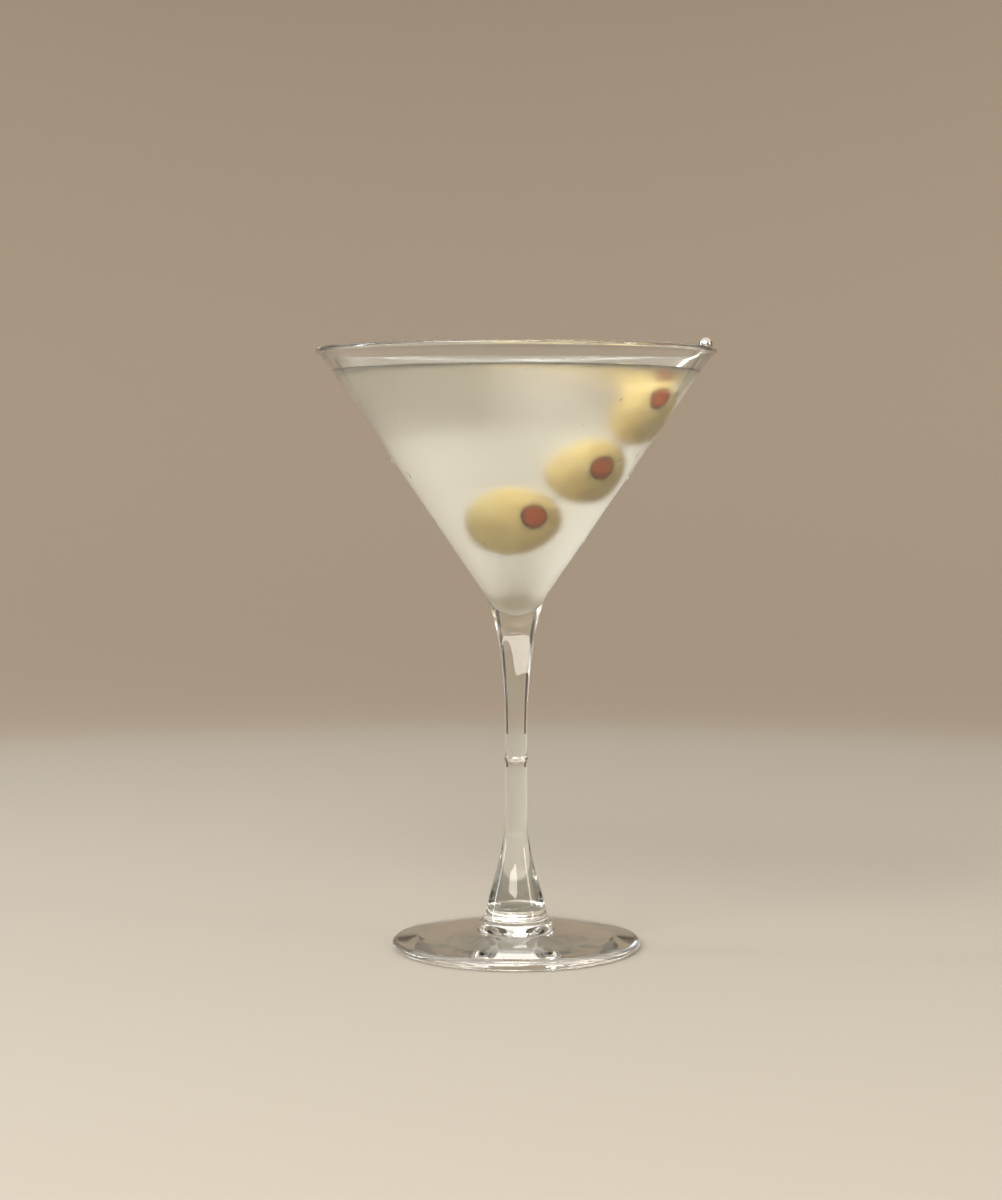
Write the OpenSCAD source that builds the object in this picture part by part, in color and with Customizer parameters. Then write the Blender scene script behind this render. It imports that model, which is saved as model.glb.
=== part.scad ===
// Martini cocktail: a long-stemmed cone glass, its drink, and three stuffed olives on a steel pick.
// Origin at the middle of the foot's underside, +Z up, the olives towards -Y and +X.

/* [Glass bowl] */
// Height of the glass, from the foot to the top of the lip
glass_h = 178; // [150:1:214]
// Radius of the bowl at the lip
rim_r = 59; // [50:0.5:71]
// Thickness of the bowl's wall just below the lip
wall = 1.4; // [1:0.05:1.8]
// Radius of the fire-polished lip
lip_r = 0.9; // [0.7:0.05:1.2]
// Height at which the bowl's straight cone begins
bowl_z = 106; // [90:1:112]
// Outer radius of the bowl at that height
bowl_base_r = 9.65; // [8.5:0.05:12]
// Thickness of the bowl's wall at that height
base_wall = 2.4; // [1.8:0.05:3]
// Radius of the rounded bottom inside the bowl
bottom_r = 5; // [3:0.25:6]

/* [Stem and foot] */
// Radius of the stem at its thinnest
stem_r = 3.26; // [2.7:0.02:4.2]
// Height of the weld ring on the stem
ring_z = 56.4; // [48:0.2:62]
// How far the weld ring stands out of the stem
ring_out = 0.3; // [0.1:0.05:0.5]
// Half of the weld ring's height
ring_half = 1.3; // [0.8:0.1:2]
// Height at which the flare under the stem begins to widen
flare_top_z = 38; // [34:0.5:44]
// Radius of the flare where it meets the foot
flare_r = 8.7; // [7:0.1:10.5]
// Height at which the flare meets the foot
flare_z = 12; // [10.5:0.1:14]
// Radius of the foot
foot_r = 37; // [31:0.5:44.5]
// Thickness of the foot's round edge
foot_edge = 2.6; // [2:0.1:3.2]
// Height of the foot's top at the fillet under the flare
foot_crown = 7.4; // [6.5:0.1:8.5]
// Width of the flat ring that the foot stands on
stand_w = 3; // [1.5:0.1:5]
// Height of the hollow under the middle of the foot
hollow_h = 3.6; // [2:0.1:4.5]

/* [Drink] */
// Depth of the drink's surface below the top of the lip
headroom = 7; // [6:0.25:20]

/* [Olives] */
// Diameters of the olives, from the lowest up
olive_d = [21.6, 20.6, 19.8]; // [16:0.1:22]
// Lengths of the olives along their stuffing, from the lowest up
olive_len = [26, 24.6, 24.4]; // [18:0.1:27]
// Way each stuffed end turns to +X, away from -Y, in degrees
olive_turn = [26, 28, 32]; // [0:1:60]
// Way each stuffed end tips upward, in degrees
olive_tip = [-1, -6, 12]; // [-20:1:20]
// Space between neighbouring olives on the pick
olive_space = 2.5; // [1:0.1:5]
// How far along the pick the top olive's middle lies, from the middle of the ball
first_olive = 27.3; // [24:0.1:32]
// How far above the pick each olive's middle lies
olive_rise = [0.1, 0, 3.2]; // [-2:0.1:4]
// Diameter of the pitted hole in an olive
pit_d = 7.8; // [6:0.1:9]
// Depth of the pimento in that hole
pit_depth = 5.5; // [4:0.1:7]

/* [Pick] */
// Diameter of the pick's rod
pick_d = 1.6; // [1.2:0.1:2.4]
// Diameter of the ball on its upper end
ball_d = 4; // [3:0.1:5]
// Height of the ball's middle above the lip
ball_rise = 1; // [0.6:0.1:2.4]
// Way round the rim at which the ball leans, in degrees from +X
ball_turn = -8; // [-30:1:10]
// Way round the bowl towards which the pick points
point_turn = 195; // [180:1:225]
// Height at which the pick's line meets the far wall, above the bottom inside the bowl
point_rise = 18.7; // [14:0.1:26]
// How far short of the far wall the point ends
point_gap = 5; // [0:0.25:7]

/* [Fits] */
// Clearance between neighbouring pieces
fit = 0.1; // [0.05:0.05:0.2]

/* [Hidden] */

$fn = 96;

// --- the bowl's two cones ---
lip_z = glass_h - lip_r;
outer_slope = (rim_r - bowl_base_r) / (glass_h - bowl_z);
outer_lean = atan(outer_slope);
inner_base_r = bowl_base_r - base_wall / cos(outer_lean);
inner_slope = (rim_r - wall / cos(outer_lean) - inner_base_r) / (glass_h - bowl_z);
inner_lean = atan(inner_slope);
inner_apex_z = bowl_z - inner_base_r / inner_slope;
bottom_centre_z = inner_apex_z + bottom_r / sin(inner_lean);
bottom_z = bottom_centre_z - bottom_r;
drink_z = glass_h - headroom;

// Inner and outer radius of the bowl's cones at a height
function inner_r(z) = (z - inner_apex_z) * inner_slope;
function outer_r(z) = bowl_base_r + (z - bowl_z) * outer_slope;
// Points of an arc about a centre, from one angle to another
function arc(c, r, from, to, n) =
    [for (i = [0:n]) let (a = from + (to - from) * i / n) [c[0] + r * cos(a), c[1] + r * sin(a)]];
// Points of a smooth curve from p[0] to p[3] that leaves towards p[1] and arrives from p[2]
function curve(p, n) =
    [for (i = [0:n]) let (t = i / n, s = 1 - t)
        s * s * s * p[0] + 3 * s * s * t * p[1] + 3 * s * t * t * p[2] + t * t * t * p[3]];

// --- the glass's outline, from under the foot up the outside and down the inside ---
edge_r = foot_edge / 2;
stand_r = foot_r - edge_r - stand_w;
foot_slope = atan((foot_crown - foot_edge) / (foot_r - edge_r - flare_r));
// Width of the fillet between the flare and the foot's top
fillet_w = 3.5;
// Height at which the stem begins to widen into the neck, a little above the weld ring
neck_z = ring_z + 0.2 * (bowl_z - ring_z);
// How far down its own line the bowl's cone steers the neck
neck_lead = 5.9;
// The lip's bead begins this far below the lip's middle
bead_drop = 1.6 * lip_r;

under_foot = curve([[0, hollow_h], [0.45 * stand_r, hollow_h], [0.7 * stand_r, 0], [stand_r, 0]], 14);
foot_rim = arc([foot_r - edge_r, edge_r], edge_r, -90, 90 - foot_slope, 8);
foot_top = curve([[flare_r + fillet_w, foot_crown], [flare_r + fillet_w / 3, foot_crown + 0.3],
                  [flare_r + fillet_w / 10, flare_z - fillet_w / 2], [flare_r, flare_z]], 6);
flare = curve([[flare_r, flare_z], [flare_r - 1.1, flare_z + 6.5],
               [stem_r + 0.64, flare_top_z - 11], [stem_r, flare_top_z]], 14);
weld_ring = [for (i = [0:8]) let (a = -180 + 45 * i)
    [stem_r + ring_out * (1 + cos(a)) / 2, ring_z + ring_half * a / 180]];
neck = curve([[stem_r, neck_z], [stem_r + 0.24, (neck_z + bowl_z) / 2],
              [bowl_base_r - neck_lead * sin(outer_lean), bowl_z - neck_lead * cos(outer_lean)],
              [bowl_base_r, bowl_z]], 16);
under_lip = [[outer_r(lip_z - bead_drop), lip_z - bead_drop]];
lip = arc([rim_r - lip_r, lip_z], lip_r, -70, 180 - inner_lean, 10);
in_lip = [[inner_r(lip_z - lip_r), lip_z - lip_r]];
// The rounded bottom inside the bowl, drawn in by a clearance
function inner_bottom(gap) =
    arc([0, bottom_centre_z], bottom_r - gap, -inner_lean, -90, 6);

module glass() {
    color([0.86, 0.89, 0.88, 0.35])
        rotate_extrude()
            polygon(concat(under_foot, foot_rim, foot_top, flare, weld_ring, neck,
                           under_lip, lip, in_lip, inner_bottom(0)));
}

// --- the pick's line, from the ball at the lip towards the far wall ---
ball_r = ball_d / 2;
ball_z = glass_h + ball_rise;
ball_out = rim_r - lip_r - sqrt(pow(ball_r + lip_r + fit, 2) - pow(ball_z - lip_z, 2));
aim_z = bottom_z + point_rise;
aim_out = inner_r(aim_z) - (pick_d / 2 + fit) / cos(inner_lean);
pick_top = [ball_out * cos(ball_turn), ball_out * sin(ball_turn), ball_z];
pick_aim = [aim_out * cos(point_turn), aim_out * sin(point_turn), aim_z];
pick_dir = (pick_aim - pick_top) / norm(pick_aim - pick_top);
pick_len = norm(pick_aim - pick_top) - point_gap;
pick_lean = acos(pick_dir[2]);
pick_head = atan2(pick_dir[1], pick_dir[0]);
// Square to the pick, in the upright plane that holds it
pick_up = [-pick_dir[2] * cos(pick_head), -pick_dir[2] * sin(pick_head), sin(pick_lean)];

// --- the olives' places: strung on the pick, and raised where the wall is too near ---
olive_fn = 48;
// Direction in which an olive's stuffed end points
function olive_dir(i) =
    [sin(olive_turn[i]) * cos(olive_tip[i]), -cos(olive_turn[i]) * cos(olive_tip[i]), sin(olive_tip[i])];
// Space between an olive at p and the bowl's inner cone, least over all ways round
function wall_room(i, p) =
    min([for (turn = [0:5:355])
        let (n = [cos(turn) * cos(inner_lean), sin(turn) * cos(inner_lean), -sin(inner_lean)],
             along = n * olive_dir(i),
             reach = sqrt(pow(olive_d[i] / 2, 2) * (1 - along * along)
                          + pow(olive_len[i] / 2 * along, 2)))
        -(n * (p - [0, 0, inner_apex_z])) - reach]);
function strung(i) =
    i == 2 ? first_olive : strung(i + 1) + (olive_d[i] + olive_d[i + 1]) / 2 + olive_space;
function raised(i, rise) =
    let (p = pick_top + pick_dir * strung(i) + pick_up * rise)
    wall_room(i, p) >= 2 * fit ? p : raised(i, rise + 0.1);
olive_at = [for (i = [0:2]) raised(i, olive_rise[i])];

// Puts what is drawn along +Z, about the origin, at an olive's place and along its stuffing
module at_olive(i) {
    translate(olive_at[i])
        rotate([90 - olive_tip[i], 0, olive_turn[i]])
            children();
}

module along_pick() {
    translate(pick_top)
        rotate([0, pick_lean, pick_head])
            children();
}

// An olive's rounded body, larger by grow all round
module olive_body(i, grow) {
    rotate_extrude($fn = olive_fn)
        polygon([for (k = [0:18]) let (a = -90 + 10 * k)
            [(olive_d[i] / 2 + grow) * cos(a), (olive_len[i] / 2 + grow) * sin(a)]]);
}

// Height of the olive's flesh round the hole, above its middle
function hole_z(i) = olive_len[i] / 2 * sqrt(1 - pow(pit_d / olive_d[i], 2));

// What the pick takes out of the olives and their stuffing
module pick_hole() {
    along_pick()
        translate([0, 0, -ball_r])
            cylinder(d = pick_d + 2 * fit, h = pick_len + ball_d);
}

module olive(i) {
    color("#a9a54a")
        difference() {
            at_olive(i) olive_body(i, 0);
            at_olive(i)
                translate([0, 0, hole_z(i) - pit_depth])
                    cylinder(d = pit_d, h = olive_len[i]);
            pick_hole();
        }
}

// Height of the stuffing's domed face, and how far its edge lies below the flesh
dome = 1.1;
dome_sink = 0.6;

module pimento(i) {
    r = pit_d / 2 - fit;
    color("#b5441c")
        difference() {
            at_olive(i)
                translate([0, 0, hole_z(i) - pit_depth + fit])
                    rotate_extrude($fn = olive_fn)
                        polygon(concat([[0, 0], [r, 0]],
                            [for (a = [0:15:90]) [r * cos(a), pit_depth - dome_sink + dome * sin(a)]]));
            pick_hole();
        }
}

// Length of the pick's tapered point, and the width of its blunt end
point_len = 4 * pick_d;
point_d = 0.4;

// Rod with a ball at its upper end and a taper at its lower end, larger by grow all round
module pick_shape(grow) {
    along_pick() {
        sphere(r = ball_r + grow);
        cylinder(d = pick_d + 2 * grow, h = pick_len - point_len);
        translate([0, 0, pick_len - point_len])
            cylinder(d1 = pick_d + 2 * grow, d2 = point_d + 2 * grow, h = point_len + grow);
    }
}

module pick() {
    color("silver") pick_shape(0);
}

// The drink fills the bowl to its level, round the olives and the pick
module drink() {
    color([0.86, 0.83, 0.74, 0.8])
        difference() {
            rotate_extrude()
                polygon(concat([[0, drink_z], [inner_r(drink_z) - fit / cos(inner_lean), drink_z]],
                               inner_bottom(fit)));
            for (i = [0:2]) at_olive(i) olive_body(i, fit);
            pick_shape(fit);
        }
}

glass();
drink();
olive(0);  // olive_1
olive(1);  // olive_2
olive(2);  // olive_3
pimento(0);  // pimento_1
pimento(1);  // pimento_2
pimento(2);  // pimento_3
pick();
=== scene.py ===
"""Looks of a martini cocktail: blown glass, cloudy drink, stuffed olives on a steel pick."""
import math
import random

import bmesh
import bpy
from mathutils import Matrix, Vector, noise


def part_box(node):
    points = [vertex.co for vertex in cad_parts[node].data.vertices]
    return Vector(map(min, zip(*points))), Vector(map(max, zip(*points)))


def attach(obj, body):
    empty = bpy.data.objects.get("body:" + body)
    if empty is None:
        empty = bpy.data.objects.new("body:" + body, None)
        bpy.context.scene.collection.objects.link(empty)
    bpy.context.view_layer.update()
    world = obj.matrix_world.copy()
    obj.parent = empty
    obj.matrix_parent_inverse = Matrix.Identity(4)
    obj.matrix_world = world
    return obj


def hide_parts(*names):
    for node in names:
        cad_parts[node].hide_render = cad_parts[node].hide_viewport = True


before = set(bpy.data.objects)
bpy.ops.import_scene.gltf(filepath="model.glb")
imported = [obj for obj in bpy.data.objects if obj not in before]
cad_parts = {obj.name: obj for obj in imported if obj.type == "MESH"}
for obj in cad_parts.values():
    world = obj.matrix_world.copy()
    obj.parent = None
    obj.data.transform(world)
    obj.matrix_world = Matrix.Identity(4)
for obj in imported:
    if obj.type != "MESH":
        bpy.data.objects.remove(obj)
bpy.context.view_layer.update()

bl_info = {
    "name": "Martini cocktail",
    "version": (1, 0, 0),
    "blender": (4, 5, 0),
    "location": "View3D > Sidebar > Martini",
    "description": "Builds the looks of a martini cocktail round its construction model",
    "category": "Object",
}

MM = 0.001
BODY = "root"
# Steps in which the glass and the drink turn about the axis.
ROUND_STEPS = 160
# Wet flesh bends light little more than the drink round it does.
IOR_IN_DRINK = 1.12

# Each lamp's place and aim, its width and height, its power in watts and its colour.
LAMPS = {
    "ceiling_softbox": ((0, 0, 0.82), (0, 0, 0), (2.4, 2.4), 17.5, "#FFFBF6"),
    "front_softbox": ((-0.45, -1.0, 0.85), (0, 0, 0.13), (1.4, 0.9), 36, "#FFF9F0"),
    "left_strip": ((-0.75, 0.1, 0.35), (0, 0, 0.1), (0.10, 0.6), 2.2, "#E8F1FF"),
    "right_strip": ((0.8, -0.35, 0.4), (0, 0, 0.12), (0.12, 0.5), 2.0, "#FFF0DC"),
}
# Ways round from +X, in degrees, in which the dark cards stand.
FLAG_TURNS = (45, 135, 225, 315)

# Places that come from the construction model.
GLASS_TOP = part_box("glass")[1].z
DRINK_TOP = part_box("drink")[1].z
PICK_LOW, PICK_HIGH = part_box("pick")


def linear(code):
    """An sRGB hex colour as the linear colour that shaders take."""
    parts = [int(code[i:i + 2], 16) / 255 for i in (1, 3, 5)]
    return [p / 12.92 if p <= 0.04045 else ((p + 0.055) / 1.055) ** 2.4 for p in parts] + [1.0]


def length(name, description, default):
    """A length that a user may change, in the scene's metres."""
    return bpy.props.FloatProperty(
        name=name, description=description, default=default, min=0.0, precision=5, unit="LENGTH")


def colour(name, description, code):
    """A colour that a user may change."""
    return bpy.props.FloatVectorProperty(
        name=name, description=description, default=linear(code),
        size=4, min=0, max=1, subtype="COLOR")


def each_olive(name, description, millimetres):
    """A length that each of the three olives has."""
    return bpy.props.FloatVectorProperty(
        name=name, description=description, size=3, min=0, precision=5, unit="LENGTH",
        default=[value * MM for value in millimetres])


def each_olive_angle(name, description, degrees):
    """An angle that each of the three olives has."""
    return bpy.props.FloatVectorProperty(
        name=name, description=description, size=3, unit="ROTATION",
        default=[math.radians(value) for value in degrees])


# ---------------------------------------------------------------- sizes and colours

class GlassSizes(bpy.types.PropertyGroup):
    """Sizes of the blown glass."""
    height: length("Height", "From the foot to the top of the lip", GLASS_TOP)
    rim: length("Rim radius", "Radius of the bowl at the lip", 59 * MM)
    wall: length("Wall", "Thickness of the bowl's wall below the lip", 1.4 * MM)
    lip: length("Lip radius", "Radius of the fire-polished lip", 0.9 * MM)
    bowl_z: length("Bowl height", "Height at which the straight cone begins", 106 * MM)
    bowl_base: length("Bowl base radius", "Outer radius of the cone where it begins", 9.65 * MM)
    base_wall: length("Base wall", "Thickness of the wall where the cone begins", 2.4 * MM)
    bottom: length("Bottom radius", "Radius of the rounded bottom inside the bowl", 5 * MM)
    stem: length("Stem radius", "Radius of the stem at its thinnest", 3.26 * MM)
    ring_z: length("Ring height", "Height of the weld ring on the stem", 56.4 * MM)
    ring_out: length("Ring relief", "How far the weld ring stands out", 0.3 * MM)
    flare_top: length("Flare top", "Height at which the flare begins to widen", 38 * MM)
    flare: length("Flare radius", "Radius of the flare at the foot", 8.7 * MM)
    flare_z: length("Flare foot", "Height at which the flare meets the foot", 12 * MM)
    foot: length("Foot radius", "Radius of the foot", 37 * MM)
    foot_edge: length("Foot edge", "Thickness of the foot's round edge", 2.6 * MM)
    foot_crown: length("Foot crown", "Height of the foot's top at the flare's fillet", 7.4 * MM)
    stand: length("Stand ring", "Width of the ring that the foot stands on", 3 * MM)
    hollow: length("Hollow", "Height of the hollow under the foot", 3.6 * MM)
    tint: colour("Glass tint", "Colour of the clear glass", "#FBFDFB")


class DrinkSizes(bpy.types.PropertyGroup):
    """Sizes and colours of the drink."""
    level: length("Level", "Height of the drink's surface", DRINK_TOP)
    bite: length("Reach into the wall", "How far the drink reaches into the glass", 0.12 * MM)
    meniscus: length("Meniscus", "Height that the drink climbs at the glass", 1.1 * MM)
    milky: colour("Milky colour", "Colour of the cloudy drink", "#FFFDF8")
    haze: bpy.props.FloatProperty(
        name="Haze", description="Density of the haze, for each metre of the drink",
        default=1.8, min=0)
    # Painted glow: the drink's volume emits light of this strength for each unit of haze, standing
    # in for the light that the haze would scatter.
    painted_haze_glow: bpy.props.FloatProperty(
        name="Haze light", description="Brightness of the light that the haze scatters",
        default=0.68, min=0)
    # Colour of the painted glow that the drink's volume emits.
    painted_glow_colour: colour("Haze colour", "Colour of the light that the haze scatters", "#FFF1DE")
    clearer: colour("Clearer colour", "Colour of the drink's thinner clouds", "#F9F5EA")


class OliveSizes(bpy.types.PropertyGroup):
    """Sizes and colours of the olives and their stuffing."""
    widths: each_olive("Widths", "Widths of the olives, from the lowest up", (21.6, 20.6, 19.8))
    lengths: each_olive("Lengths", "Lengths of the olives, from the lowest up", (26, 24.6, 24.4))
    turns: each_olive_angle("Turns", "Way each stuffed end turns to +X, away from -Y", (26, 28, 32))
    tips: each_olive_angle("Tips", "Way each stuffed end tips upward", (-1, -6, 12))
    pit: length("Hole", "Diameter of the pitted hole", 7.8 * MM)
    depth: length("Stuffing depth", "Depth of the pimento in the hole", 5.5 * MM)
    uneven: length("Unevenness", "How far the skin strays from a smooth round", 0.35 * MM)
    skin: colour("Skin", "Main colour of the skin", "#FBE6A6")
    skin_dark: colour("Dark skin", "Colour of the skin's darker patches", "#E8CE88")
    skin_pale: colour("Pale specks", "Colour of the specks in the skin", "#F8ECC4")
    flesh: colour("Cut flesh", "Colour of the cut flesh round the hole", "#EEDDA6")
    pimento: colour("Pimento", "Colour of the stuffing", "#E46C02")
    # Painted shade: the stuffing darkens to this colour where its fibre relief dips, as if shade
    # lay in the creases.
    pimento_crease_shade: colour("Dark pimento", "Colour of the stuffing's folds", "#A84002")
    # Painted shade: the dark where the stuffing's edge meets the olive's hole.
    pimento_edge_shade: colour("Pimento edge", "Colour of the stuffing's edge in the hole", "#5E2000")


class PickSizes(bpy.types.PropertyGroup):
    """Sizes of the steel pick."""
    rod: length("Rod", "Diameter of the rod", 1.6 * MM)
    ball: length("Ball", "Diameter of the ball at the upper end", 4 * MM)
    steel: colour("Steel", "Colour of the polished steel", "#C9C7C2")


class DropletSizes(bpy.types.PropertyGroup):
    """Sizes of the water droplets on the outside of the glass."""
    count: bpy.props.IntProperty(
        name="Count", description="Droplets on the bowl", default=64, min=0, max=400)
    smallest: length("Smallest", "Radius of the smallest droplet", 0.2 * MM)
    largest: length("Largest", "Radius of the largest droplet", 1.15 * MM)
    on_foot: bpy.props.IntProperty(
        name="On the foot", description="Droplets on the foot", default=14, min=0, max=100)
    on_lip: bpy.props.IntProperty(
        name="On the lip", description="Droplets on the lip", default=16, min=0, max=100)
    spread: bpy.props.FloatProperty(
        name="Spread", description="How far round from the bowl's two sides the droplets stray",
        default=0.4, min=0, unit="ROTATION")


class StageSizes(bpy.types.PropertyGroup):
    """Sizes and colours of the floor, lights and camera."""
    floor: length("Floor", "Radius of the flat floor", 700 * MM)
    tone_near: length("Pale floor", "Radius at which the floor begins to deepen in tone", 490 * MM)
    tone_far: length("Deeper floor", "Radius at which the floor has the backdrop's tone", 660 * MM)
    wall: length("Sweep", "Radius at which the sweep is upright", 1500 * MM)
    paper: colour("Floor colour", "Colour of the floor", "#98938A")
    backdrop: colour("Backdrop colour", "Colour of the sweep beyond the pale floor", "#93887A")
    camera_distance: length("Camera distance", "From the camera to the stem", 694 * MM)
    camera_height: length("Camera height", "Above the floor", 145 * MM)


# ---------------------------------------------------------------- outlines and meshes

def arc(centre, radius, start, end, steps):
    """Points of an arc in an outline, from one angle to another in degrees."""
    angles = [math.radians(start + (end - start) * i / steps) for i in range(steps + 1)]
    return [Vector((centre[0] + radius * math.cos(a), centre[1] + radius * math.sin(a)))
            for a in angles]


def curve(p0, p1, p2, p3, steps):
    """Points of a smooth curve that leaves p0 towards p1 and reaches p3 from p2."""
    points = []
    for i in range(steps + 1):
        t = i / steps
        s = 1 - t
        points.append(s ** 3 * Vector(p0) + 3 * s * s * t * Vector(p1)
                      + 3 * s * t * t * Vector(p2) + t ** 3 * Vector(p3))
    return points


def joined(*stretches, gap=2.5 * MM):
    """One outline from several, with points added where two of its points lie far apart."""
    same_point = 0.001 * MM
    points = [Vector(p) for stretch in stretches for p in stretch]
    outline = [points[0]]
    for p in points[1:]:
        last = outline[-1]
        away = (p - last).length
        if away < same_point:
            continue
        parts = max(1, math.ceil(away / gap))
        outline += [last.lerp(p, k / parts) for k in range(1, parts + 1)]
    return outline


def spun(outline, steps):
    """A closed round body made by turning an outline of (radius, height) about the Z axis."""
    weld = 0.002 * MM
    bm = bmesh.new()
    verts = [bm.verts.new((p[0], 0, p[1])) for p in outline]
    edges = [bm.edges.new(pair) for pair in zip(verts, verts[1:])]
    bmesh.ops.spin(bm, geom=verts + edges, cent=(0, 0, 0), axis=(0, 0, 1), dvec=(0, 0, 0),
                   angle=math.tau, space=Matrix.Identity(4), steps=steps,
                   use_merge=True, use_normal_flip=False, use_duplicate=False)
    bmesh.ops.remove_doubles(bm, verts=bm.verts[:], dist=weld)
    bmesh.ops.recalc_face_normals(bm, faces=bm.faces[:])
    return bm


def solid(bm, name, material):
    """Turns a mesh in the making into a smooth object of the scene."""
    for face in bm.faces:
        face.smooth = True
    mesh = bpy.data.meshes.new(name)
    bm.to_mesh(mesh)
    bm.free()
    made = bpy.data.objects.new(name, mesh)
    bpy.context.scene.collection.objects.link(made)
    mesh.materials.append(material)
    return made


def finished(bm, name, slot, material, *nodes):
    """Turns a mesh in the making into a piece that rides on the body and stands for CAD nodes."""
    piece = solid(bm, name, material)
    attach(piece, BODY)
    if nodes:
        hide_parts(*nodes)


# ---------------------------------------------------------------- materials

def settle(tree, part, values):
    """Sets or links the sockets of a node."""
    for name, value in values.items():
        if isinstance(value, bpy.types.NodeSocket):
            tree.links.new(value, part.inputs[name])
        else:
            part.inputs[name].default_value = value


def node(tree, kind, values=None, **settings):
    """Adds a node to a material, with its settings, values and links."""
    made = tree.nodes.new(kind)
    for name, value in settings.items():
        setattr(made, name, value)
    settle(tree, made, values or {})
    return made


def new_material(name):
    """An empty material with its output, its Principled shader and Object coordinates."""
    material = bpy.data.materials.new(name)
    material.use_nodes = True
    tree = material.node_tree
    tree.nodes.clear()
    shader = node(tree, "ShaderNodeBsdfPrincipled")
    node(tree, "ShaderNodeOutputMaterial", {"Surface": shader.outputs["BSDF"]})
    place = node(tree, "ShaderNodeTexCoord").outputs["Object"]
    return material, tree, shader, place


def blown_glass(sizes):
    """Blown soda-lime glass: clear, with faint drawn waves and a breath of frost on the bowl."""
    material, tree, shader, place = new_material("blown_glass")
    drawn = node(tree, "ShaderNodeMapping", {"Vector": place, "Scale": (1, 1, 0.12)})
    waves = node(tree, "ShaderNodeTexNoise",
                 {"Vector": drawn.outputs["Vector"], "Scale": 1 / (5 * MM), "Detail": 1.0})
    relief = node(tree, "ShaderNodeBump",
                  {"Height": waves.outputs["Fac"], "Strength": 0.25, "Distance": 0.06 * MM})
    height = node(tree, "ShaderNodeSeparateXYZ", {"Vector": place})
    chilled = node(tree, "ShaderNodeMapRange",
                   {"Value": height.outputs["Z"], "From Min": sizes.bowl_z - 6 * MM,
                    "From Max": sizes.bowl_z + 10 * MM, "To Min": 0.0, "To Max": 1.0})
    breath = node(tree, "ShaderNodeTexNoise",
                  {"Vector": place, "Scale": 1 / (14 * MM), "Detail": 3.0})
    patches = node(tree, "ShaderNodeMapRange",
                   {"Value": breath.outputs["Fac"], "From Min": 0.35, "From Max": 0.65,
                    "To Min": 0.02, "To Max": 0.10})
    frost = node(tree, "ShaderNodeMath",
                 {0: chilled.outputs["Result"], 1: patches.outputs["Result"]}, operation="MULTIPLY")
    settle(tree, shader, {
        "Base Color": sizes.tint, "Roughness": frost.outputs["Value"], "IOR": 1.5,
        "Transmission Weight": 1.0, "Normal": relief.outputs["Normal"]})
    return material


def cloudy_drink(sizes):
    """Spirit clouded by olive brine: a pale milky liquid that blurs what lies deep in it, with a
    painted glow in its volume in place of light that the haze would scatter.
    """
    material, tree, shader, place = new_material("cloudy_drink")
    cloud = node(tree, "ShaderNodeTexNoise",
                 {"Vector": place, "Scale": 1 / (22 * MM), "Detail": 2.0, "Distortion": 0.6})
    shade = node(tree, "ShaderNodeMix",
                 {"Factor": cloud.outputs["Fac"], "A": sizes.clearer, "B": sizes.milky},
                 data_type="RGBA")
    settle(tree, shader, {
        "Base Color": shade.outputs["Result"], "Roughness": 0.34, "IOR": 1.345,
        "Transmission Weight": 0.97})
    haze = node(tree, "ShaderNodeVolumeAbsorption",
                {"Color": (0, 0, 0, 1), "Density": sizes.haze})
    # Painted glow: the volume emits a warm light of its own that stands in for light scattered by
    # the haze, while the black absorption dims what lies behind.
    glow = node(tree, "ShaderNodeEmission",
                {"Color": sizes.painted_glow_colour, "Strength": sizes.haze * sizes.painted_haze_glow})
    haze_and_painted_glow = node(tree, "ShaderNodeAddShader",
                      {0: haze.outputs["Volume"], 1: glow.outputs["Emission"]})
    end = next(part for part in tree.nodes if part.type == "OUTPUT_MATERIAL")
    settle(tree, end, {"Volume": haze_and_painted_glow.outputs["Shader"]})
    return material


def olive_skin(sizes):
    """Brined green olive: waxy, mottled, with pale specks and paler cut flesh at the hole."""
    material, tree, shader, place = new_material("olive_skin")
    mottle = node(tree, "ShaderNodeTexNoise",
                  {"Vector": place, "Scale": 1 / (6 * MM), "Detail": 4.0})
    patches = node(tree, "ShaderNodeMapRange",
                   {"Value": mottle.outputs["Fac"], "From Min": 0.38, "From Max": 0.66})
    skin = node(tree, "ShaderNodeMix",
                {"Factor": patches.outputs["Result"], "A": sizes.skin, "B": sizes.skin_dark},
                data_type="RGBA")
    cells = node(tree, "ShaderNodeTexVoronoi", {"Vector": place, "Scale": 1 / (1.3 * MM)})
    specks = node(tree, "ShaderNodeMapRange",
                  {"Value": cells.outputs["Distance"], "From Min": 0.12, "From Max": 0.26,
                   "To Min": 0.55, "To Max": 0.0})
    speckled = node(tree, "ShaderNodeMix",
                    {"Factor": specks.outputs["Result"], "A": skin.outputs["Result"],
                     "B": sizes.skin_pale}, data_type="RGBA")
    cut = node(tree, "ShaderNodeAttribute", attribute_name="cut")
    whole = node(tree, "ShaderNodeMix",
                 {"Factor": cut.outputs["Fac"], "A": speckled.outputs["Result"], "B": sizes.flesh},
                 data_type="RGBA")
    pores = node(tree, "ShaderNodeTexNoise",
                 {"Vector": place, "Scale": 1 / (0.7 * MM), "Detail": 2.0})
    relief = node(tree, "ShaderNodeBump",
                  {"Height": pores.outputs["Fac"], "Strength": 0.25, "Distance": 0.12 * MM})
    settle(tree, shader, {
        "Base Color": whole.outputs["Result"], "Roughness": 0.34, "IOR": IOR_IN_DRINK,
        "Subsurface Weight": 0.25, "Subsurface Radius": (1.0, 0.8, 0.3),
        "Subsurface Scale": 1.6 * MM, "Normal": relief.outputs["Normal"]})
    return material


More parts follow.
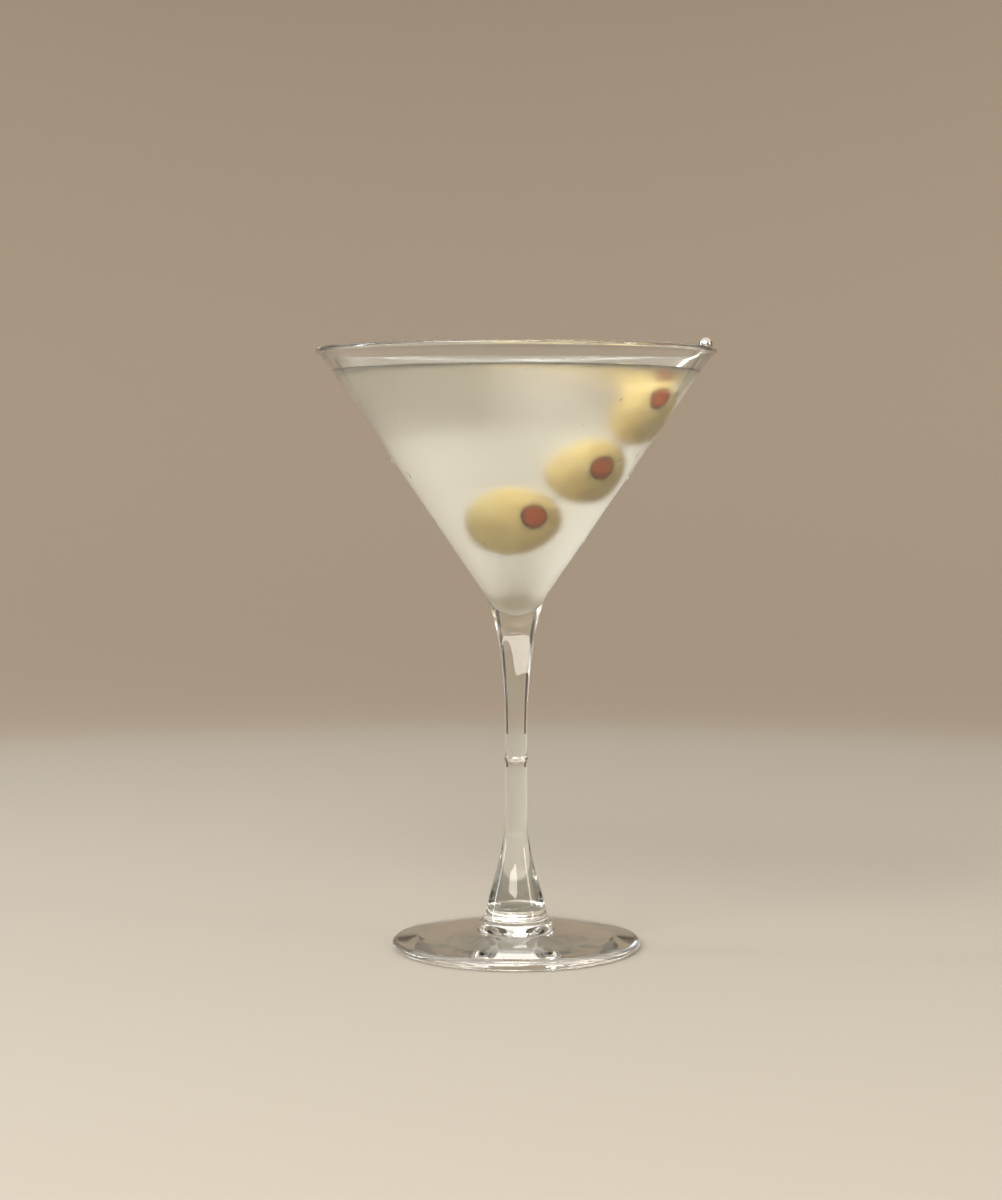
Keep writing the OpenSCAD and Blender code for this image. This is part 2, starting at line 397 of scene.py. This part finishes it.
def pimento_flesh(sizes):
    """Strip of sweet pepper: wet, orange red, with painted shade in the creases of its fibre relief
    and at its edge in the hole.
    """
    material, tree, shader, place = new_material("pimento_flesh")
    fibre = node(tree, "ShaderNodeTexNoise",
                 {"Vector": place, "Scale": 1 / (1.6 * MM), "Detail": 4.0, "Distortion": 1.2})
    # Painted shade: the same noise that gives the relief darkens the colour where the relief dips.
    crease_shade = node(tree, "ShaderNodeMapRange",
                 {"Value": fibre.outputs["Fac"], "From Min": 0.35, "From Max": 0.68})
    shade = node(tree, "ShaderNodeMix",
                 {"Factor": crease_shade.outputs["Result"], "A": sizes.pimento_crease_shade, "B": sizes.pimento},
                 data_type="RGBA")
    # Painted shade at the stuffing's edge, from the marks that the mesh carries.
    edge = node(tree, "ShaderNodeAttribute", attribute_name="edge")
    edge_shaded = node(tree, "ShaderNodeMix",
                  {"Factor": edge.outputs["Fac"], "A": shade.outputs["Result"],
                   "B": sizes.pimento_edge_shade}, data_type="RGBA")
    relief = node(tree, "ShaderNodeBump",
                  {"Height": fibre.outputs["Fac"], "Strength": 0.5, "Distance": 0.25 * MM})
    settle(tree, shader, {
        "Base Color": edge_shaded.outputs["Result"], "Roughness": 0.32, "IOR": IOR_IN_DRINK,
        "Subsurface Weight": 0.2, "Subsurface Radius": (1.0, 0.35, 0.2),
        "Subsurface Scale": 1.2 * MM, "Normal": relief.outputs["Normal"]})
    return material


def polished_steel(sizes):
    """Polished stainless steel: bright, with fine wiping marks."""
    material, tree, shader, place = new_material("polished_steel")
    marks = node(tree, "ShaderNodeTexNoise",
                 {"Vector": place, "Scale": 1 / (0.8 * MM), "Detail": 3.0})
    wear = node(tree, "ShaderNodeMapRange",
                {"Value": marks.outputs["Fac"], "To Min": 0.10, "To Max": 0.26})
    settle(tree, shader, {
        "Base Color": sizes.steel, "Metallic": 1.0, "Roughness": wear.outputs["Result"]})
    return material


def dew():
    """Clear water standing in beads on cold glass."""
    material, tree, shader, place = new_material("dew")
    ripple = node(tree, "ShaderNodeTexNoise", {"Vector": place, "Scale": 1 / (1.5 * MM)})
    relief = node(tree, "ShaderNodeBump",
                  {"Height": ripple.outputs["Fac"], "Strength": 0.1, "Distance": 0.05 * MM})
    settle(tree, shader, {
        "Base Color": (0.99, 0.99, 0.99, 1), "Roughness": 0.02, "IOR": 1.333,
        "Transmission Weight": 1.0, "Normal": relief.outputs["Normal"]})
    return material


def black_card():
    """Dull black card: almost no light comes back from it."""
    material, tree, shader, place = new_material("black_card")
    nap = node(tree, "ShaderNodeTexNoise", {"Vector": place, "Scale": 1 / (2 * MM)})
    shade = node(tree, "ShaderNodeMix",
                 {"Factor": nap.outputs["Fac"], "A": linear("#1C1A18"), "B": linear("#2A2724")},
                 data_type="RGBA")
    settle(tree, shader, {"Base Color": shade.outputs["Result"], "Roughness": 0.8})
    return material


def studio_paper(sizes):
    """Matt background paper: a plain pale floor that shades into a plain deeper tone behind it."""
    material, tree, shader, place = new_material("studio_paper")
    flat = node(tree, "ShaderNodeVectorMath", {0: place, 1: (1, 1, 0)}, operation="MULTIPLY")
    out = node(tree, "ShaderNodeVectorMath", {0: flat.outputs["Vector"]}, operation="LENGTH")
    far = node(tree, "ShaderNodeMapRange",
               {"Value": out.outputs["Value"], "From Min": sizes.tone_near,
                "From Max": sizes.tone_far}, interpolation_type="SMOOTHSTEP")
    shade = node(tree, "ShaderNodeMix",
                 {"Factor": far.outputs["Result"], "A": sizes.paper, "B": sizes.backdrop},
                 data_type="RGBA")
    pulp = node(tree, "ShaderNodeTexNoise", {"Vector": place, "Scale": 1 / (3 * MM), "Detail": 2.0})
    relief = node(tree, "ShaderNodeBump",
                  {"Height": pulp.outputs["Fac"], "Strength": 0.05, "Distance": 0.2 * MM})
    settle(tree, shader, {
        "Base Color": shade.outputs["Result"], "Roughness": 0.7, "Specular IOR Level": 0.25,
        "Normal": relief.outputs["Normal"]})
    return material


# ---------------------------------------------------------------- the bowl's cones

class Bowl:
    """The bowl's inner and outer cones, worked out from the glass's sizes."""

    def __init__(self, g):
        self.slope = (g.rim - g.bowl_base) / (g.height - g.bowl_z)
        self.lean = math.atan(self.slope)
        inner_base = g.bowl_base - g.base_wall / math.cos(self.lean)
        inner_rim = g.rim - g.wall / math.cos(self.lean)
        self.inner_slope = (inner_rim - inner_base) / (g.height - g.bowl_z)
        self.inner_lean = math.atan(self.inner_slope)
        self.apex_z = g.bowl_z - inner_base / self.inner_slope
        self.bottom_centre = self.apex_z + g.bottom / math.sin(self.inner_lean)
        self.sizes = g

    def inside(self, z):
        """Radius of the inner cone at a height."""
        return (z - self.apex_z) * self.inner_slope

    def outside(self, z):
        """Radius of the outer cone at a height."""
        return self.sizes.bowl_base + (z - self.sizes.bowl_z) * self.slope

    def rounded_bottom(self, grow):
        """The rounded bottom inside the bowl, from the cone to the axis."""
        return arc((0, self.bottom_centre), self.sizes.bottom + grow,
                   -math.degrees(self.inner_lean), -90, 16)


def glass_outline(g):
    """Outline of the whole glass, from under the foot, up the outside and down the inside."""
    bowl = Bowl(g)
    edge = g.foot_edge / 2
    stand = g.foot - edge - g.stand
    tilt = math.degrees(math.atan((g.foot_crown - g.foot_edge) / (g.foot - edge - g.flare)))
    # Width of the fillet between the flare and the foot.
    fillet = 3.5 * MM
    # The neck begins a little above the weld ring, and the cone steers its upper end.
    neck_z = g.ring_z + 0.2 * (g.bowl_z - g.ring_z)
    lead = 5.9 * MM
    ring_half = 1.3 * MM
    lip_z = g.height - g.lip
    under_foot = curve((0, g.hollow), (0.45 * stand, g.hollow), (0.7 * stand, 0), (stand, 0), 20)
    foot_rim = arc((g.foot - edge, edge), edge, -90, 90 - tilt, 14)
    foot_top = curve((g.flare + fillet, g.foot_crown),
                     (g.flare + fillet / 3, g.foot_crown + 0.3 * MM),
                     (g.flare + fillet / 10, g.flare_z - fillet / 2), (g.flare, g.flare_z), 14)
    flare = curve((g.flare, g.flare_z), (g.flare - 1.1 * MM, g.flare_z + 6.5 * MM),
                  (g.stem + 0.64 * MM, g.flare_top - 11 * MM), (g.stem, g.flare_top), 26)
    ring = [(g.stem + g.ring_out * (1 + math.cos(math.radians(a))) / 2,
             g.ring_z + ring_half * a / 180) for a in range(-180, 181, 30)]
    neck = curve((g.stem, neck_z), (g.stem + 0.24 * MM, (neck_z + g.bowl_z) / 2),
                 (g.bowl_base - lead * math.sin(bowl.lean), g.bowl_z - lead * math.cos(bowl.lean)),
                 (g.bowl_base, g.bowl_z), 30)
    bead_z = lip_z - 1.6 * g.lip
    lip = arc((g.rim - g.lip, lip_z), g.lip, -70, 180 - math.degrees(bowl.inner_lean), 18)
    inner_top = (bowl.inside(lip_z - g.lip), lip_z - g.lip)
    return joined(under_foot, foot_rim, foot_top, flare, ring, neck,
                  [(bowl.outside(bead_z), bead_z)], lip, [inner_top], bowl.rounded_bottom(0))


# ---------------------------------------------------------------- places of the olives and the pick

def middle(name):
    """Middle of a CAD node's box."""
    low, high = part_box(name)
    return (low + high) / 2


class Olive:
    """One olive's place, direction and half sizes. Its stuffing's place comes from the frame."""

    # How far outside the middle of its hole the stuffing's own middle lies.
    BULGE = 0.3 * MM

    def __init__(self, number, sizes):
        k = number - 1
        self.across = sizes.widths[k] / 2
        self.along = sizes.lengths[k] / 2
        self.hole = sizes.pit / 2
        self.face = self.along * math.sqrt(1 - (self.hole / self.across) ** 2)
        turn, tip = sizes.turns[k], sizes.tips[k]
        self.direction = Vector((math.sin(turn) * math.cos(tip), -math.cos(turn) * math.cos(tip),
                                 math.sin(tip)))
        self.centre = middle(f"pimento_{number}") - self.direction * (
            self.face - sizes.depth / 2 + self.BULGE)


def pick_line(ball):
    """The pick's two ends: the middle of its ball, and its point."""
    radius = ball / 2
    top = Vector((PICK_HIGH.x - radius, PICK_LOW.y + radius, PICK_HIGH.z - radius))
    return top, Vector((PICK_LOW.x, PICK_HIGH.y, PICK_LOW.z))


def pointing(turn, up):
    """Direction that lies some way round from +X and some way up from level."""
    return Vector((math.cos(turn) * math.cos(up), math.sin(turn) * math.cos(up), math.sin(up)))


def placed(bm, start, direction):
    """Moves a body made along +Z so that it starts at a point and runs in a direction."""
    turn = Vector(direction).to_track_quat("Z", "Y").to_matrix().to_4x4()
    bmesh.ops.transform(bm, matrix=Matrix.Translation(start) @ turn, space=Matrix.Identity(4),
                        verts=bm.verts[:])


# ---------------------------------------------------------------- operators

class MARTINI_OT_glass(bpy.types.Operator):
    """Spin the bowl, stem and foot of the glass as one clear piece"""
    bl_idname = "martini.glass"
    bl_label = "Glass"

    def execute(self, context):
        sizes = context.scene.martini_glass
        bm = spun(glass_outline(sizes), ROUND_STEPS)
        finished(bm, "blown_glass", "glass", blown_glass(sizes), "glass")
        return {"FINISHED"}


class MARTINI_OT_drink(bpy.types.Operator):
    """Fill the bowl with the cloudy drink, which reaches just into the wall"""
    bl_idname = "martini.drink"
    bl_label = "Drink"

    def execute(self, context):
        sizes = context.scene.martini_drink
        bowl = Bowl(context.scene.martini_glass)
        climb = sizes.meniscus
        edge = bowl.inside(sizes.level)
        flat_end = (edge - 3 * climb, sizes.level)
        rise = curve(flat_end, (edge - climb, sizes.level),
                     (bowl.inside(sizes.level + 0.4 * climb) - 0.1 * climb,
                      sizes.level + 0.3 * climb),
                     (bowl.inside(sizes.level + climb) + sizes.bite, sizes.level + climb), 10)
        outline = joined([(0, sizes.level), flat_end], rise, bowl.rounded_bottom(sizes.bite),
                         gap=1 * MM)
        bm = spun(outline, ROUND_STEPS)
        self.climb_olive(bm, sizes, Olive(3, context.scene.martini_olives))
        finished(bm, "cloudy_drink", "drink", cloudy_drink(sizes), "drink")
        return {"FINISHED"}

    def climb_olive(self, bm, sizes, olive):
        """Lifts the drink's surface a little where the top olive stands out of it."""
        height = (sizes.level - olive.centre.z) / olive.across
        if abs(height) >= 1:
            return
        shrink = math.sqrt(1 - height ** 2)
        forward = olive.direction.xy.normalized()
        aside = forward.orthogonal()
        reach, on_surface = 1.2 * MM, 0.01 * MM
        for vert in bm.verts:
            if abs(vert.co.z - sizes.level) > on_surface:
                continue
            off = vert.co.xy - olive.centre.xy
            share = Vector((off.dot(aside) / olive.across, off.dot(forward) / olive.along)).length
            away = (share - shrink) * olive.across
            vert.co.z += 0.7 * sizes.meniscus * math.exp(-max(0.0, away) / reach)


class MARTINI_OT_olives(bpy.types.Operator):
    """Shape the three pitted olives, each uneven in its own way"""
    bl_idname = "martini.olives"
    bl_label = "Olives"

    def execute(self, context):
        sizes = context.scene.martini_olives
        material = olive_skin(sizes)
        for number in (1, 2, 3):
            self.olive(number, sizes, material)
        return {"FINISHED"}

    def olive(self, number, sizes, material):
        """One olive, spun about its stuffing, with a rounded cut at its hole."""
        olive = Olive(number, sizes)
        # Radius of the cut's rounded edge.
        lip = 0.45 * MM
        turn = math.degrees(math.acos((olive.hole + 0.5 * MM) / olive.across))
        angles = [math.radians(-90 + (turn + 90) * i / 40) for i in range(41)]
        skin = [Vector((olive.across * math.cos(a), olive.along * math.sin(a))) for a in angles]
        shoulder = skin[-1]
        cut = arc((olive.hole + lip, shoulder.y - 0.35 * MM), lip, 70, 180, 6)
        bottom = shoulder.y - sizes.depth - 0.5 * MM
        bm = spun(joined(skin, cut, [(olive.hole, bottom), (0, bottom)], gap=0.7 * MM), 80)
        self.mark_cut(bm, olive)
        lump, dent = 11 * MM, 3 * MM
        for vert in bm.verts:
            growth = 2.2 * noise.noise(vert.co / lump + Vector((number, 0, 0)))
            growth += 0.5 * noise.noise(vert.co / dent + Vector((number, 5, 0)))
            vert.co += vert.co.normalized() * sizes.uneven * growth
        placed(bm, olive.centre, olive.direction)
        self.pierce(bm, olive)
        finished(bm, f"olive_{number}_skin", "olive", material, f"olive_{number}")

    def mark_cut(self, bm, olive):
        """Marks the points round the hole, where the flesh is cut and paler."""
        layer = bm.verts.layers.float.new("cut")
        start, fade = 0.2 * MM, 0.8 * MM
        for vert in bm.verts:
            out = vert.co.xy.length
            near = 1 - min(1.0, max(0.0, (out - olive.hole - start) / fade))
            vert[layer] = near if vert.co.z > 0 else 0.0

    def pierce(self, bm, olive):
        """Draws the skin in where the pick goes through it."""
        top, point = pick_line(bpy.context.scene.martini_pick.ball)
        line = (point - top).normalized()
        depth, spread = 0.7 * MM, 1.3 * MM
        for vert in bm.verts:
            away = (vert.co - top).cross(line).length
            inward = (olive.centre - vert.co).normalized()
            vert.co += inward * depth * math.exp(-(away / spread) ** 2)


class MARTINI_OT_pimentos(bpy.types.Operator):
    """Fold a strip of pimento into each olive's hole"""
    bl_idname = "martini.pimentos"
    bl_label = "Pimentos"

    def execute(self, context):
        sizes = context.scene.martini_olives
        material = pimento_flesh(sizes)
        for number in (1, 2, 3):
            self.pimento(number, sizes, material)
        return {"FINISHED"}

    def pimento(self, number, sizes, material):
        """One rolled strip: a domed face with a fold across it, and painted shade marked at its
        edge.
        """
        olive = Olive(number, sizes)
        radius, face = olive.hole, olive.face
        tight, sunk, rise = 0.05 * MM, 0.8 * MM, 1.3 * MM
        body = [Vector((0, face - sizes.depth)), Vector((radius, face - sizes.depth))]
        dome = [Vector(((radius + tight) * math.cos(math.radians(a)),
                        face - sunk + rise * math.sin(math.radians(a))))
                for a in range(0, 91, 6)]
        bm = spun(joined(body, dome, gap=0.35 * MM), 56)
        # Marks the outer part of the face, where the material paints shade at the edge in the hole.
        layer = bm.verts.layers.float.new("edge")
        shade_from, shade_over = 0.62, 0.3
        for vert in bm.verts:
            share = vert.co.xy.length / radius
            vert[layer] = min(1.0, max(0.0, (share - shade_from) / shade_over))
        self.fold(bm, number, face)
        placed(bm, olive.centre, olive.direction)
        finished(bm, f"pimento_{number}_strip", "pimento", material, f"pimento_{number}")

    def fold(self, bm, number, face):
        """Presses a fold across the face and makes it a little uneven."""
        turn = math.radians(35 + 70 * number)
        across_fold = Vector((math.cos(turn), math.sin(turn), 0))
        shift, width, depth = 0.5 * MM, 0.5 * MM, 0.55 * MM
        bumps, bump_size = 0.35 * MM, 1.7 * MM
        for vert in bm.verts:
            if vert.co.z < face - 1.2 * MM:
                continue
            off = vert.co.dot(across_fold) - shift
            vert.co.z -= depth * math.exp(-(off / width) ** 2)
            vert.co.z += bumps * noise.noise(vert.co / bump_size + Vector((number, 0, 0)))


class MARTINI_OT_pick(bpy.types.Operator):
    """Turn the steel pick, from the ball to its point"""
    bl_idname = "martini.pick"
    bl_label = "Pick"

    def execute(self, context):
        sizes = context.scene.martini_pick
        top, point = pick_line(sizes.ball)
        reach = (point - top).length
        ball, rod = sizes.ball / 2, sizes.rod / 2
        taper, tip = 6.4 * MM, 0.2 * MM
        waist = math.degrees(math.asin(rod * 1.25 / ball))
        outline = joined(
            arc((0, 0), ball, -90, 90 - waist, 28),
            curve((rod * 1.25, ball * math.cos(math.radians(waist))), (rod * 1.2, ball * 1.25),
                  (rod, ball * 1.3), (rod, ball * 1.6), 8),
            [(rod, reach - taper), (tip, reach - tip)],
            arc((0, reach - tip), tip, 0, 90, 5), gap=2 * MM)
        bm = spun(outline, 40)
        placed(bm, top, point - top)
        finished(bm, "steel_pick", "pick", polished_steel(sizes), "pick")
        return {"FINISHED"}


class MARTINI_OT_droplets(bpy.types.Operator):
    """Scatter water droplets on the outside of the bowl, its lip and the foot"""
    bl_idname = "martini.droplets"
    bl_label = "Droplets"

    def execute(self, context):
        sizes = context.scene.martini_droplets
        glass = context.scene.martini_glass
        rng = random.Random(7)
        bm = bmesh.new()
        self.on_bowl(bm, rng, sizes, glass)
        self.on_lip(bm, rng, sizes, glass)
        self.on_foot(bm, rng, sizes, glass)
        finished(bm, "dew_drops", "glass", dew())
        return {"FINISHED"}

    def on_bowl(self, bm, rng, sizes, glass):
        """Droplets on the bowl, gathered at its two sides."""
        bowl = Bowl(glass)
        low_margin, high_margin = 8 * MM, 4 * MM
        low, high = glass.bowl_z + low_margin, glass.height - high_margin
        for _ in range(sizes.count):
            z = rng.uniform(low, high)
            size = sizes.smallest + (sizes.largest - sizes.smallest) * rng.random() ** 3
            turn = rng.choice((0, math.pi)) + rng.gauss(0, sizes.spread)
            place = bowl.outside(z) * pointing(turn, 0)
            place.z = z
            self.bead(bm, place, pointing(turn, -bowl.lean), size)

    def on_lip(self, bm, rng, sizes, glass):
        """Droplets on the upper outer side of the lip, none of them large."""
        for _ in range(sizes.on_lip):
            turn, up = rng.uniform(0, math.tau), rng.uniform(0, math.pi / 2)
            size = sizes.smallest + 0.4 * (sizes.largest - sizes.smallest) * rng.random()
            out = pointing(turn, up)
            lip_middle = (glass.rim - glass.lip) * pointing(turn, 0)
            lip_middle.z = glass.height - glass.lip
            self.bead(bm, lip_middle + out * glass.lip, out, size)

    def on_foot(self, bm, rng, sizes, glass):
        """Droplets on the foot's sloping top."""
        inner, outer = glass.flare + 6 * MM, glass.foot - 2 * MM
        for _ in range(sizes.on_foot):
            radius = rng.uniform(inner, outer)
            size = sizes.smallest + 0.5 * (sizes.largest - sizes.smallest) * rng.random() ** 2
            turn = rng.uniform(0, math.tau)
            along = (outer - radius) / (outer - inner)
            place = radius * pointing(turn, 0)
            place.z = glass.foot_edge + (glass.foot_crown - glass.foot_edge) * 0.9 * along
            self.bead(bm, place, Vector((0, 0, 1)), size)

    def bead(self, bm, place, out, size):
        """One bead of water, flattened against the glass."""
        squash = 0.55
        turn = out.to_track_quat("Z", "Y").to_matrix().to_4x4()
        flat = Matrix.Diagonal((size, size, squash * size, 1))
        bmesh.ops.create_icosphere(bm, subdivisions=2, radius=1.0,
                                   matrix=Matrix.Translation(place) @ turn @ flat)


class MARTINI_OT_stage(bpy.types.Operator):
    """Set the pale sweep, the soft lights and the camera"""
    bl_idname = "martini.stage"
    bl_label = "Stage"

    def execute(self, context):
        sizes = context.scene.martini_stage
        self.sweep(context, sizes)
        for name, settings in LAMPS.items():
            self.light(context, name, *settings)
        for turn in FLAG_TURNS:
            self.flag(context, f"flag_{turn}", math.radians(turn))
        self.surroundings(context)
        self.paths_through_glass(context)
        self.camera(context, sizes)
        return {"FINISHED"}

    def sweep(self, context, sizes):
        """Nearly flat floor, just clear of the foot, that curves up into a wall all round."""
        clear, wall = 0.1 * MM, sizes.wall
        outline = joined([(0, -clear), (0.1 * sizes.floor, -clear), (sizes.floor, 0)],
                         curve((sizes.floor, 0), (0.75 * wall, 0), (wall, 0.1 * wall),
                               (wall, 0.6 * wall), 24),
                         [(wall, 1.2 * wall)], gap=60 * MM)
        bm = spun(outline, 96)
        bmesh.ops.reverse_faces(bm, faces=[f for f in bm.faces if f.normal.z < 0])
        solid(bm, "sweep", studio_paper(sizes))

    def flag(self, context, name, turn):
        """A dark upright card that draws dark lines in the glass and that no view shows."""
        card = bpy.data.meshes.new(name)
        away, half, low, high = 0.55, math.radians(9), 0.0, 0.42
        a = (away * math.cos(turn - half), away * math.sin(turn - half))
        b = (away * math.cos(turn + half), away * math.sin(turn + half))
        card.from_pydata([(*a, low), (*b, low), (*b, high), (*a, high)], [], [(0, 1, 2, 3)])
        card.materials.append(black_card())
        stand = bpy.data.objects.new(name, card)
        stand.visible_camera = False
        stand.visible_diffuse = False
        stand.visible_shadow = False
        context.scene.collection.objects.link(stand)

    def light(self, context, name, place, aim, size, power, code):
        """One rectangular soft light, aimed at a point."""
        lamp = bpy.data.lights.new(name, "AREA")
        lamp.shape = "RECTANGLE"
        lamp.size, lamp.size_y = size
        lamp.energy = power
        lamp.color = linear(code)[:3]
        holder = bpy.data.objects.new(name, lamp)
        holder.location = place
        aimed = Vector(aim) - Vector(place)
        holder.rotation_euler = aimed.to_track_quat("-Z", "Y").to_euler()
        holder.visible_camera = False
        context.scene.collection.objects.link(holder)

    def surroundings(self, context):
        """Even, dim, slightly warm light from everywhere."""
        strength = 0.28
        world = bpy.data.worlds.new("studio_air")
        world.use_nodes = True
        glow = world.node_tree.nodes["Background"]
        glow.inputs["Color"].default_value = linear("#F1ECE4")
        glow.inputs["Strength"].default_value = strength
        context.scene.world = world

    def paths_through_glass(self, context):
        """Lets light pass bowl, drink, stem and foot, and keeps the colours as they are set."""
        through, mirrored = 18, 12
        context.scene.cycles.max_bounces = through
        context.scene.cycles.transmission_bounces = through
        context.scene.cycles.glossy_bounces = mirrored
        context.scene.view_settings.view_transform = "Standard"

    def camera(self, context, sizes):
        """Level with the drink, a little left of the stem, looking slightly down."""
        focal_length, film_width = 70.2, 36
        left, pitch = 4.5 * MM, 3.4
        lens = bpy.data.cameras.new("camera")
        lens.lens = focal_length
        lens.sensor_width = film_width
        lens.clip_start = 10 * MM
        holder = bpy.data.objects.new("camera", lens)
        holder.location = (-left, -sizes.camera_distance, sizes.camera_height)
        holder.rotation_euler = (math.radians(90 - pitch), 0, 0)
        context.scene.collection.objects.link(holder)
        context.scene.camera = holder


class MARTINI_PT_panel(bpy.types.Panel):
    """Lists the operators that build the martini"""
    bl_label = "Martini"
    bl_idname = "MARTINI_PT_panel"
    bl_space_type = "VIEW_3D"
    bl_region_type = "UI"
    bl_category = "Martini"

    def draw(self, context):
        for operator in OPERATORS:
            self.layout.operator(operator.bl_idname)


OPERATORS = (MARTINI_OT_glass, MARTINI_OT_drink, MARTINI_OT_olives, MARTINI_OT_pimentos,
             MARTINI_OT_pick, MARTINI_OT_droplets, MARTINI_OT_stage)
GROUPS = {"martini_glass": GlassSizes, "martini_drink": DrinkSizes, "martini_olives": OliveSizes,
          "martini_pick": PickSizes, "martini_droplets": DropletSizes, "martini_stage": StageSizes}


def register():
    for name, group in GROUPS.items():
        bpy.utils.register_class(group)
        setattr(bpy.types.Scene, name, bpy.props.PointerProperty(type=group))
    for operator in OPERATORS:
        bpy.utils.register_class(operator)
    bpy.utils.register_class(MARTINI_PT_panel)


def unregister():
    bpy.utils.unregister_class(MARTINI_PT_panel)
    for operator in reversed(OPERATORS):
        bpy.utils.unregister_class(operator)
    for name, group in reversed(GROUPS.items()):
        delattr(bpy.types.Scene, name)
        bpy.utils.unregister_class(group)


def main():
    """Builds every piece and the stage."""
    register()
    for operator in OPERATORS:
        group, name = operator.bl_idname.split(".")
        getattr(getattr(bpy.ops, group), name)()


if __name__ == "__main__":
    main()
